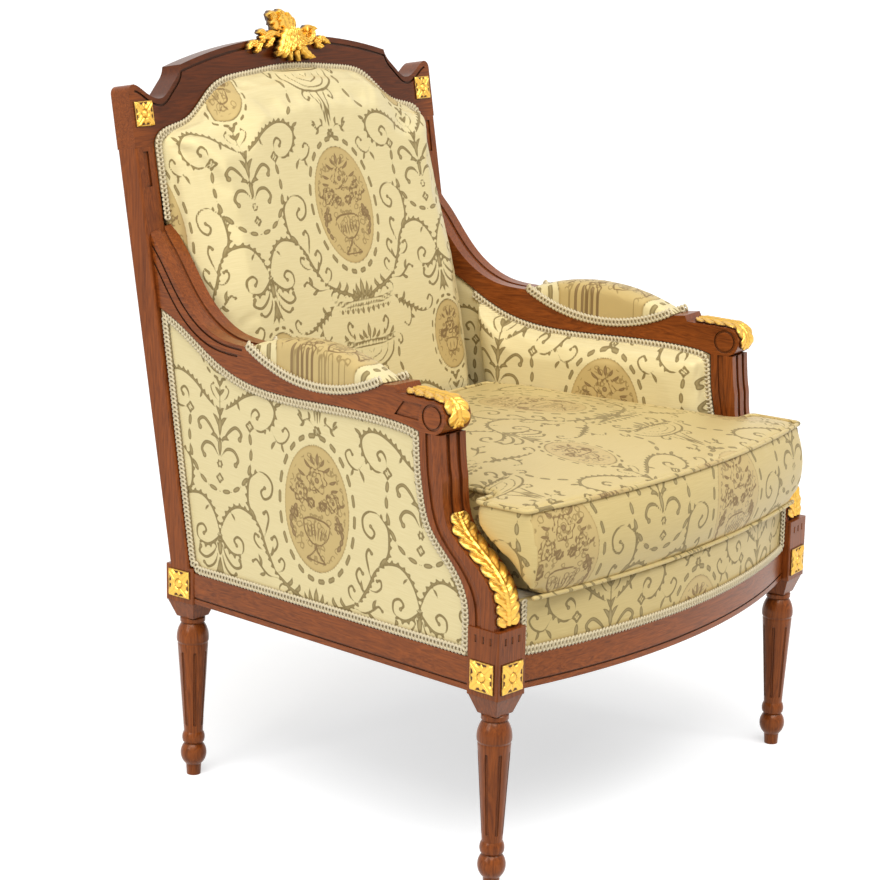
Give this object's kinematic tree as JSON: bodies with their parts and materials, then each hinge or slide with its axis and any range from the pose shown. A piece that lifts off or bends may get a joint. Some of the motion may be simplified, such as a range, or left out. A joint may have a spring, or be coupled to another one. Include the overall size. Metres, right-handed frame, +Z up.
{
  "type": "upholstered armchair",
  "caption": "Closed-arm upholstered armchair with a show-wood frame, gilt carving, scrolled padded arms, arched back, turned fluted legs and a loose T-shaped seat cushion.",
  "frame": {"origin": "on the floor, under the middle of the chair's footprint box", "axes": "+Z up, the front of the chair faces -Y, +X to the right of someone facing it"},
  "size_m": [0.7302, 0.7371, 1.0184],
  "materials": {
    "show_wood": "satin lacquered mahogany stain",
    "hidden_wood": "raw sawn beech",
    "gilt_carving": "antiqued gold leaf on carved wood",
    "damask": "woven silk damask, champagne gold",
    "gimp": "woven scroll braid",
    "spring_steel": "oiled spring wire",
    "webbing": "jute webbing",
    "lining_cloth": "plain lining cloth"
  },
  "bodies": {
    "frame": {"arm_leaf_left": "gilt_carving", "arm_leaf_right": "gilt_carving", "arm_pad_gimp_left": "gimp", "arm_pad_gimp_right": "gimp", "arm_pad_left": "damask", "arm_pad_right": "damask", "arm_post_left": "show_wood", "arm_post_right": "show_wood", "arm_rail_left": "show_wood", "arm_rail_right": "show_wood", "back_gimp": "gimp", "back_pad": "damask", "back_webbing": "webbing", "brace_screws": "spring_steel", "corner_braces": "hidden_wood", "crest_ornament": "gilt_carving", "crest_rail": "show_wood", "crest_rosette_left": "gilt_carving", "crest_rosette_right": "gilt_carving", "dust_cover": "lining_cloth", "frame_dowels": "hidden_wood", "front_border": "damask", "front_border_gimp": "gimp", "front_leg_front_rosette_left": "gilt_carving", "front_leg_front_rosette_right": "gilt_carving", "front_leg_left": "show_wood", "front_leg_right": "show_wood", "front_leg_side_rosette_left": "gilt_carving", "front_leg_side_rosette_right": "gilt_carving", "front_seat_rail": "show_wood", "inside_arm_gimp_left": "gimp", "inside_arm_gimp_right": "gimp", "inside_arm_pad_left": "damask", "inside_arm_pad_right": "damask", "lower_back_rail": "hidden_wood", "outside_arm_gimp_left": "gimp", "outside_arm_gimp_right": "gimp", "outside_arm_panel_left": "damask", "outside_arm_panel_right": "damask", "outside_back_gimp": "gimp", "outside_back_panel": "damask", "post_leaf_left": "gilt_carving", "post_leaf_right": "gilt_carving", "rear_leg_rosette_left": "gilt_carving", "rear_leg_rosette_right": "gilt_carving", "rear_post_left": "show_wood", "rear_post_right": "show_wood", "rear_seat_rail": "hidden_wood", "seat_deck": "lining_cloth", "seat_springs": "spring_steel", "side_seat_rail_left": "show_wood", "side_seat_rail_right": "show_wood", "spring_clips": "spring_steel", "spring_cover": "lining_cloth"},
    "cushion": {"seat_cushion": "damask", "cushion_welt_top": "damask", "cushion_welt_bottom": "damask"}
  },
  "joints": [
    {"name": "cushion_lift", "type": "slide", "parent": "frame", "child": "cushion", "axis": [0, 0, 1], "range_m": [0, 0.35]}
  ]
}
